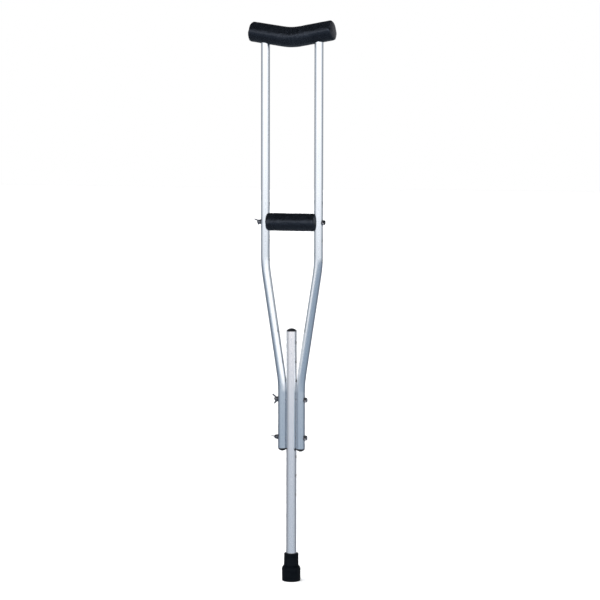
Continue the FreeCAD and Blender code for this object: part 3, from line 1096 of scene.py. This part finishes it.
@dataclass
class EndPlugs:
    """The three domed plugs: one under each side tube and one on top of the leg."""

    skirt: float = 12.0 * MM
    rim: float = 1.2 * MM
    wall: float = 1.35 * MM
    gate_radius: float = 1.1 * MM

    def plug(self, name: str, radius: float, dome: float) -> Object:
        """Turns a plug that points up, with its rim's underside at Z = 0.

        Args:
            name: the plug's name.
            radius: the outside radius of the tube that it closes.
            dome: how far the dome stands over the rim.

        Returns:
            The plug, with a rounded rim and a sunken moulding gate at its crown.
        """
        bore = radius - self.wall
        ball = (radius**2 + dome**2) / (2 * dome)
        side = math.degrees(math.asin((ball - dome) / ball))
        top = math.degrees(math.acos(self.gate_radius / ball))
        crown = arc((self.rim + dome - ball, 0.0), ball, side, top, 10)
        foot, chamfer, neck = -self.skirt, 0.8 * MM, bore - 0.3 * MM
        stations = [(foot, bore * 0.5), (foot, bore - chamfer), (foot + chamfer, bore)]
        stations += [(-3.2 * MM, bore), (-3.0 * MM, neck), (0, neck), (0, radius)]
        stations += crown + [(crown[-1][0] - 0.15 * MM, self.gate_radius * 0.85)]
        plug = turned(name, stations, 64)
        round_edges(plug, 0.25 * MM, 3, 35)
        smooth(plug, 40)
        return plug

    def build(self, bench: Bench, plastic: Material) -> None:
        """Makes one small plug for each side tube and a large one for the leg, and fits them.

        Args:
            bench: the frame to fit to.
            plastic: the plugs' finish.
        """
        low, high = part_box("end_plug_left")
        radius = (high.x - low.x) / 2
        tube_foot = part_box("side_tube_left")[0].z
        left = self.plug("foot_plug_left", radius, tube_foot - low.z - self.rim)
        left.rotation_euler = (math.pi, 0, 0)
        left.location = ((low.x + high.x) / 2, 0, tube_foot)
        settle(left, "foot_plug_left")
        shift = Vector((-(low.x + high.x), 0, 0))
        right = copy_of(left, "foot_plug_right", shift)
        leg_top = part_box("extension_tube")[1].z
        low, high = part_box("extension_plug")
        top = self.plug("leg_plug", (high.x - low.x) / 2, high.z - leg_top - self.rim)
        top.location = (0, 0, leg_top)
        settle(top, "leg_plug")
        bench.fit(left, "end_plug_left", plastic)
        bench.fit(right, "end_plug_right", plastic)
        bench.fit(top, "extension_plug", plastic)


@dataclass
class Fastenings:
    """The through bolts: a hexagon head and washer at the right, a washer and wing nut at the left."""

    shank_radius: float = 3.0 * MM
    pitch: float = 1.0 * MM
    thread_depth: float = 0.55 * MM
    thread_run: float = 15.0 * MM
    washer_hole: float = 3.2 * MM
    bolt_tail: float = 1.5 * MM
    nut_wall: float = 2.0 * MM
    nut_voxel: float = 0.3 * MM
    barrel_top: float = 4.2 * MM
    # each in mm: reach from the bolt's axis, lower edge, upper edge, thickness
    wing_sections: tuple[tuple[float, float, float, float], ...] = (
        (3.2, 0.8, 5.6, 2.9),
        (5.0, 1.1, 6.9, 2.6),
        (7.6, 3.2, 9.6, 2.3),
        (10.2, 6.2, 11.6, 2.3),
        (12.1, 7.6, 11.3, 2.1),
        (12.7, 8.4, 10.6, 1.8),
    )
    turns: tuple[tuple[str, float], ...] = (("grip", 120.0), ("upper", 155.0), ("lower", 105.0))

    def bolt(self, name: str, length: float, flats: float, head: float) -> Object:
        """Makes a bolt that hangs down from its head, whose underside is at Z = 0.

        Args:
            name: the bolt's name.
            length: from under the head to the tail's end.
            flats: across the head's flats.
            head: the head's height.

        Returns:
            The bolt: a chamfered hexagon, a plain shank and a cut thread.
        """
        clear_selection()
        corner = flats / 2 / math.cos(math.pi / 6)
        middle = (0, 0, head / 2)
        bpy.ops.mesh.primitive_cylinder_add(vertices=6, radius=corner, depth=head, location=middle)
        bolt = settle(bpy.context.object, name)
        past = corner * 1.02
        dome = [(0, flats * 0.55), (0.4 * MM, past), (head * 0.78, past), (head, flats * 0.46)]
        cut(bolt, turned("chamfer", dome, 48), operation="INTERSECT")
        plain, radius = length - self.thread_run, self.shank_radius
        shank = [(0.5 * MM, radius), (-plain, radius), (-plain - 0.4 * MM, radius - 0.3 * MM)]
        cut(bolt, turned("shank", shank, 32), operation="UNION")
        cut(bolt, self.thread(-length, self.thread_run + 0.4 * MM), operation="UNION")
        round_edges(bolt, 0.12 * MM, 2, 45)
        smooth(bolt, 35)
        return bolt

    def thread(self, low: float, run: float) -> Object:
        """Winds a thread up from a chamfered end at low, by the screw modifier.

        Args:
            low: the height of the thread's lower end.
            run: how far up it runs.

        Returns:
            The thread, as a closed piece.
        """
        root = self.shank_radius - self.thread_depth
        clear_selection()
        bpy.ops.mesh.primitive_circle_add(vertices=3, radius=self.pitch)
        helix = settle(bpy.context.object, "helix")
        start = low - 2 * self.pitch
        flank = ((root, 0.0), (self.shank_radius, 0.5), (root, 1.0))
        for point, (reach, share) in zip(helix.data.vertices, flank):
            point.co = (reach, 0, start + share * self.pitch)
        bpy.ops.object.mode_set(mode="EDIT")
        bpy.ops.mesh.select_mode(type="EDGE")
        bpy.ops.mesh.select_all(action="DESELECT")
        leave_edit()
        for edge in helix.data.edges:
            edge.select = set(edge.vertices) == {0, 2}
        bpy.ops.object.mode_set(mode="EDIT")
        bpy.ops.mesh.delete(type="EDGE")
        leave_edit()
        turns = math.ceil(run / self.pitch) + 4
        winding = {"axis": "Z", "angle": 2 * math.pi, "screw_offset": self.pitch, "iterations": turns}
        merging = {"use_merge_vertices": True, "merge_threshold": 0.01 * MM}
        apply(helix, "SCREW", steps=24, render_steps=24, **winding, **merging)
        bpy.ops.object.mode_set(mode="EDIT")
        bpy.ops.mesh.select_all(action="SELECT")
        bpy.ops.mesh.remove_doubles(threshold=0.01 * MM)
        bpy.ops.mesh.fill_holes(sides=0)
        bpy.ops.mesh.normals_make_consistent(inside=False)
        leave_edit()
        past = self.shank_radius * 1.02
        blunt = [(low, root * 0.9), (low + 0.7 * MM, past), (low + run, past)]
        cut(helix, turned("blunt", blunt, 32), operation="INTERSECT")
        return helix

    def washer(self, name: str, radius: float, thickness: float) -> Object:
        """A punched washer that lies on Z = 0, its upper edges rounded over.

        Args:
            name: the washer's name.
            radius: its outside radius.
            thickness: its thickness.

        Returns:
            The washer.
        """
        hole, roll, break_edge = self.washer_hole, thickness * 0.3, thickness * 0.18
        outline = [(0, hole), (0, radius), (thickness - roll, radius), (thickness, radius - roll)]
        outline += [(thickness, hole + break_edge), (thickness - break_edge, hole)]
        clear_selection()
        bpy.ops.mesh.primitive_circle_add(vertices=56, radius=self.washer_hole, fill_type="NOTHING")
        washer = settle(bpy.context.object, name)
        edit_all("EDGE")
        draw_rings(outline + outline[:1])
        outward(washer)
        round_edges(washer, 0.08 * MM, 2, 40)
        smooth(washer, 40)
        return washer

    def wing(self) -> Object:
        """One wing of the nut, extruded outwards from the barrel and rounded by subdivision.

        Returns:
            The wing, which reaches out along X.
        """
        reach, low, high, thick = (number * MM for number in self.wing_sections[0])
        middle = (reach, 0, (low + high) / 2)
        clear_selection()
        bpy.ops.mesh.primitive_plane_add(size=1, location=middle, rotation=(0, math.pi / 2, 0))
        wing = settle(bpy.context.object, "wing")
        edit_all("FACE")
        scale_about(middle, (1, thick, high - low))
        for section in self.wing_sections[1:]:
            next_reach, next_low, next_high, next_thick = (number * MM for number in section)
            extrude((next_reach - reach, 0, (next_low + next_high - low - high) / 2))
            middle = (next_reach, 0, (next_low + next_high) / 2)
            scale_about(middle, (1, next_thick / thick, (next_high - next_low) / (high - low)))
            reach, low, high, thick = next_reach, next_low, next_high, next_thick
        leave_edit()
        outward(wing)
        apply(wing, "SUBSURF", levels=2, render_levels=2)
        return wing

    def wing_nut(self, name: str, barrel_height: float, barrel_radius: float) -> Object:
        """Casts a wing nut that stands up from Z = 0, bored through.

        Args:
            name: the nut's name.
            barrel_height: how tall its barrel is.
            barrel_radius: the barrel's radius at its seat.

        Returns:
            The nut, its wings blended into the barrel.
        """
        seat, top = barrel_radius, self.barrel_top
        stations = [(0, seat * 0.93), (0.35 * MM, seat), (barrel_height * 0.35, seat * 0.98),
                    (barrel_height - 0.5 * MM, top), (barrel_height, top - 0.4 * MM)]
        nut = turned(name, stations, 48)
        first = self.wing()
        second = copy_of(first, "wing_two")
        second.rotation_euler = (0, 0, math.pi)
        settle(second, "wing_two")
        cut(nut, first, operation="UNION")
        cut(nut, second, operation="UNION")
        apply(nut, "REMESH", mode="VOXEL", voxel_size=self.nut_voxel, use_smooth_shade=True)
        apply(nut, "SMOOTH", factor=0.5, iterations=4)
        bore = self.shank_radius + 0.05 * MM
        cut(nut, turned("nut_bore", [(-MM, bore), (barrel_height + MM, bore)], 32))
        smooth(nut, 45)
        return nut

    def build(self, bench: Bench, steel: Material, zinc: Material) -> None:
        """Makes each kind of fitting once, and fits its copies on the three bolt lines.

        Args:
            bench: the frame to fit to.
            steel: the finish of the bolts and washers.
            zinc: the finish of the wing nuts.
        """
        low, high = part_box("lower_bolt")
        head_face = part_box("lower_head_washer")[1].x
        flats = high.y - low.y
        short = head_face - low.x
        bolt = self.bolt("bolt", short, flats, high.x - head_face)
        low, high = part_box("lower_head_washer")
        washer = self.washer("washer", (high.y - low.y) / 2, high.x - low.x)
        low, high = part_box("lower_wing_nut")
        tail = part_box("lower_bolt")[0].x
        barrel_height = high.x - tail - self.bolt_tail
        nut = self.wing_nut("wing_nut", barrel_height, self.shank_radius + self.nut_wall)
        for line, turn in self.turns:
            self._fit_line(bench, line, turn, (bolt, washer, nut), short, (steel, zinc))
        for master in (bolt, washer, nut):
            bpy.data.objects.remove(master)

    def _fit_line(
        self,
        bench: Bench,
        line: str,
        turn: float,
        masters: tuple[Object, Object, Object],
        short: float,
        metals: tuple[Material, Material],
    ) -> None:
        """Fits one bolt line.

        Args:
            bench: the frame to fit to.
            line: the line's name, which starts its nodes' names.
            turn: the wing nut's turn about the bolt, in degrees.
            masters: the bolt, the washer and the wing nut to copy.
            short: the master bolt's length under its head.
            metals: the finishes of the steel pieces and of the cast nut.
        """
        bolt_master, washer_master, nut_master = masters
        steel, zinc = metals
        height = height_of(f"{line}_bolt")
        head_low, head_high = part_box(f"{line}_head_washer")
        nut_low, nut_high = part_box(f"{line}_nut_washer")
        bolt = copy_of(bolt_master, f"{line}_through_bolt")
        self._lengthen(bolt, head_high.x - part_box(f"{line}_bolt")[0].x - short)
        right, left = math.pi / 2, -math.pi / 2
        head_washer = copy_of(washer_master, f"{line}_right_washer")
        nut_washer = copy_of(washer_master, f"{line}_left_washer")
        nut = copy_of(nut_master, f"{line}_cast_nut")
        for piece, tip, seat, spin, node, slot, metal in (
            (bolt, right, head_high.x, 0.0, "bolt", Slot.STEEL, steel),
            (head_washer, right, head_low.x, 0.0, "head_washer", Slot.STEEL, steel),
            (nut_washer, left, nut_high.x, 0.0, "nut_washer", Slot.STEEL, steel),
            (nut, left, nut_low.x, turn, "wing_nut", Slot.WING_NUT, zinc),
        ):
            self._lay(piece, tip, (seat, 0, height), spin)
            bench.fit(piece, f"{line}_{node}", metal)

    def _lengthen(self, bolt: Object, extra: float) -> None:
        """Draws the threaded tail of an upright bolt further from its head.

        Args:
            bolt: the upright bolt.
            extra: how much longer it gets.
        """
        if extra < 0.01 * MM:
            return
        pick(bolt)
        for point in bolt.data.vertices:
            point.select = point.co.z < -5 * MM
        bpy.ops.object.mode_set(mode="EDIT")
        bpy.ops.mesh.select_mode(type="VERT")
        bpy.ops.transform.translate(value=(0, 0, -extra))
        leave_edit()

    @staticmethod
    def _lay(piece: Object, tip: float, seat: Sequence[float], turn: float) -> None:
        """Lays an upright piece along X by a turn about Y, spins it about its own axis and seats it.

        Args:
            piece: the upright piece.
            tip: the turn about Y, in radians.
            seat: where its own origin goes.
            turn: the spin about its own axis, in degrees.
        """
        piece.rotation_euler = (0, 0, math.radians(turn))
        settle(piece, piece.name)
        piece.rotation_euler = (0, tip, 0)
        piece.location = seat
        settle(piece, piece.name)


@dataclass
class Framework:
    """The carried-over nodes that keep their shape: tubes, leg, cores, rivets and the foot's disc."""

    grip_pitch: float = 40.0 * MM
    grip_holes_below: int = 2
    leg_pitch: float = 41.0 * MM
    leg_settings_below: int = 3
    leg_holes: int = 9

    def build(self, bench: Bench) -> None:
        """Gives every kept node its finish.

        Args:
            bench: the frame to fit to.
        """
        side = DrawnAluminium(
            "drawn_aluminium_side_tube",
            bright=(0.585, 0.655, 0.72, 1),
            dull=(0.53, 0.60, 0.67, 1),
            first_hole=height_of("grip_bolt") - self.grip_holes_below * self.grip_pitch,
            hole_pitch=self.grip_pitch,
            hole_count=4,
        ).make()
        leg = DrawnAluminium(
            "drawn_aluminium_leg",
            bright=(0.94, 0.94, 0.95, 1),
            dull=(0.87, 0.87, 0.885, 1),
            first_hole=height_of("lower_bolt") - self.leg_settings_below * self.leg_pitch,
            hole_pitch=self.leg_pitch,
            hole_count=self.leg_holes,
        ).make()
        silver, soft_silver = (0.78, 0.79, 0.82, 1), (0.62, 0.63, 0.66, 1)
        rivet = PlatedSteel("bright_rivet", film=silver, spot=soft_silver).make()
        grey, pale = (0.05, 0.052, 0.056, 1), (0.07, 0.072, 0.078, 1)
        core = MouldedPlastic("grey_core_plastic", body=grey, flow=pale).make()
        disc = PlatedSteel("foot_disc_steel").make()
        finishes = {
            "side_tube_left": side,
            "side_tube_right": side,
            "extension_tube": leg,
            "saddle_core": core,
            "grip_core": core,
            "saddle_rivet_left": rivet,
            "saddle_rivet_right": rivet,
            "tip_disc": disc,
        }
        for name, material in finishes.items():
            redress(bench.node(name), material)
            LOG.info("%s: dressed in %s", name, material.name)


# ---------------------------------------------------------------- studio


@dataclass
class Studio:
    """A plain pale floor, soft light and the camera."""

    azimuth: float = math.radians(21.0)
    elevation: float = math.radians(4.4)
    distance: float = 4.65
    aim_right: float = 17.8 * MM
    aim_height: float = 0.6075
    lens: float = 130.45
    roll: float = math.radians(0.12)
    floor_size: float = 60.0
    overhead_strength: float = 4.5
    overhead_spread: float = math.radians(70)
    overhead_tilt: tuple[float, float] = (math.radians(14), math.radians(-8))
    window_power: float = 12.0
    window_size: float = 1.4
    window_ahead: float = 3.6
    window_place: tuple[float, float, float] = (-1.2, 0, 1.9)
    window_aim: tuple[float, float, float] = (0, 0, 0.9)
    window_cool: tuple[float, float, float] = (0.90, 0.95, 1.0)
    white: Colour = (1.0, 1.0, 1.0, 1)
    soft_box: Colour = (1.90, 1.76, 1.68, 1)
    side_grey: Colour = (0.44, 0.44, 0.46, 1)
    slate: Colour = (0.455, 0.52, 0.61, 1)
    side_slate: Colour = (0.26, 0.28, 0.32, 1)
    ceiling: Colour = (0.05, 0.055, 0.06, 1)
    pit: Colour = (0.24, 0.27, 0.31, 1)
    # where each part of the sky begins and ends, as shares of a direction
    ahead_band: Band = (-0.35, 0.75)
    horizon_band: Band = (-0.095, -0.035)
    pit_band: Band = (-0.6, -0.3)
    ceiling_band: Band = (0.12, 0.55)

    def camera_way(self) -> Vector:
        """The level direction from the crutch to the camera."""
        return Vector((math.sin(self.azimuth), -math.cos(self.azimuth), 0))

    def build(self) -> None:
        """Lays the floor, hangs the lights and sets up the camera."""
        self._floor()
        self._sky()
        self._overhead()
        self._window()
        self._camera()

    def _floor(self) -> None:
        """The floor, which the tubes' gloss doesn't show."""
        clear_selection()
        bpy.ops.mesh.primitive_plane_add(size=self.floor_size)
        floor = settle(bpy.context.object, "studio_floor")
        bpy.ops.object.mode_set(mode="EDIT")
        bpy.ops.mesh.subdivide(number_cuts=3)
        leave_edit()
        floor.visible_glossy = False
        dress(floor, StudioPaper("studio_paper").make())

    def _sky(self) -> None:
        """A soft box ahead of the crutch, grey flats beside it and a slate floor below the horizon."""
        world = bpy.data.worlds.new("soft_studio")
        world.use_nodes = True
        bpy.context.scene.world = world
        graph = Graph(world.node_tree)
        across, deep, height = graph.parts(graph.node("ShaderNodeTexCoord", output="Generated"))
        front = self.camera_way()
        ahead = graph.band(across * front.x + deep * front.y, *self.ahead_band)
        lift = graph.band(height, *self.horizon_band)
        upper = graph.mix(ahead, self.side_grey, self.soft_box)
        lower = graph.mix(ahead, self.side_slate, self.slate)
        lower = graph.mix(graph.band(height, *self.pit_band), self.pit, lower)
        sky = graph.mix(lift, lower, upper)
        sky = graph.mix(graph.band(height, *self.ceiling_band), sky, self.ceiling)
        seen = graph.node("ShaderNodeLightPath", output="Is Camera Ray")
        colour = graph.mix(seen, sky, self.white)
        backdrop = graph.node("ShaderNodeBackground", sockets={"Color": colour, "Strength": 1.0})
        graph.raw("ShaderNodeOutputWorld", sockets={"Surface": backdrop})

    def _overhead(self) -> None:
        """A wide, even light from above, which whitens the floor and isn't mirrored in the tubes."""
        lamp = bpy.data.lights.new("overhead", "SUN")
        lamp.energy = self.overhead_strength
        lamp.angle = self.overhead_spread
        light = bpy.data.objects.new("overhead", lamp)
        light.rotation_euler = (*self.overhead_tilt, 0)
        light.visible_glossy = False
        bpy.context.collection.objects.link(light)

    def _window(self) -> None:
        """A cool soft box high on the left, for the foam's and the rubber's soft shine."""
        lamp = bpy.data.lights.new("window", "AREA")
        lamp.size = self.window_size
        lamp.energy = self.window_power
        lamp.color = self.window_cool
        light = bpy.data.objects.new("window", lamp)
        light.location = self.camera_way() * self.window_ahead + Vector(self.window_place)
        way = Vector(self.window_aim) - light.location
        light.rotation_euler = way.to_track_quat("-Z", "Y").to_euler()
        bpy.context.collection.objects.link(light)

    def _camera(self) -> None:
        """The camera, a hair off level and aimed a little to the right of the crutch."""
        way = self.camera_way()
        right = Vector((-way.y, way.x, 0))
        aim = right * self.aim_right + Vector((0, 0, self.aim_height))
        back = way * math.cos(self.elevation) + Vector((0, 0, math.sin(self.elevation)))
        lens = bpy.data.cameras.new("studio_camera")
        lens.lens = self.lens
        camera = bpy.data.objects.new("studio_camera", lens)
        camera.location = aim + back * self.distance
        level = (-back).to_track_quat("-Z", "Y")
        camera.rotation_euler = (level @ Quaternion((0, 0, 1), self.roll)).to_euler()
        bpy.context.collection.objects.link(camera)
        bpy.context.scene.camera = camera
        bpy.context.scene.view_settings.view_transform = "Standard"


# ---------------------------------------------------------------- the whole


def main() -> None:
    """Loads the frame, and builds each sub-assembly on it."""
    logging.basicConfig(level=logging.INFO, format="%(name)s: %(message)s")
    bench = Bench(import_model())
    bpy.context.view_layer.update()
    Studio().build()
    Framework().build(bench)
    pad_crease, grip_crease = (0.012, -0.02, 1.168), (-0.045, -0.018, 0.768)
    pad_foam = SkinnedFoam("skinned_foam_saddle", crease_centre=pad_crease, crease_reach=0.05)
    grip_foam = SkinnedFoam("skinned_foam_grip", crease_centre=grip_crease, crease_reach=0.02)
    UnderarmCushion().build(bench, pad_foam.make())
    HandGrip().build(bench, grip_foam.make())
    RubberFoot().build(bench, MouldedRubber("moulded_rubber").make())
    EndPlugs().build(bench, MouldedPlastic("black_plug_plastic").make())
    steel, zinc = PlatedSteel("plated_steel_fittings"), CastZinc("cast_zinc_nut")
    Fastenings().build(bench, steel.make(), zinc.make())


if __name__ == "__main__":
    main()
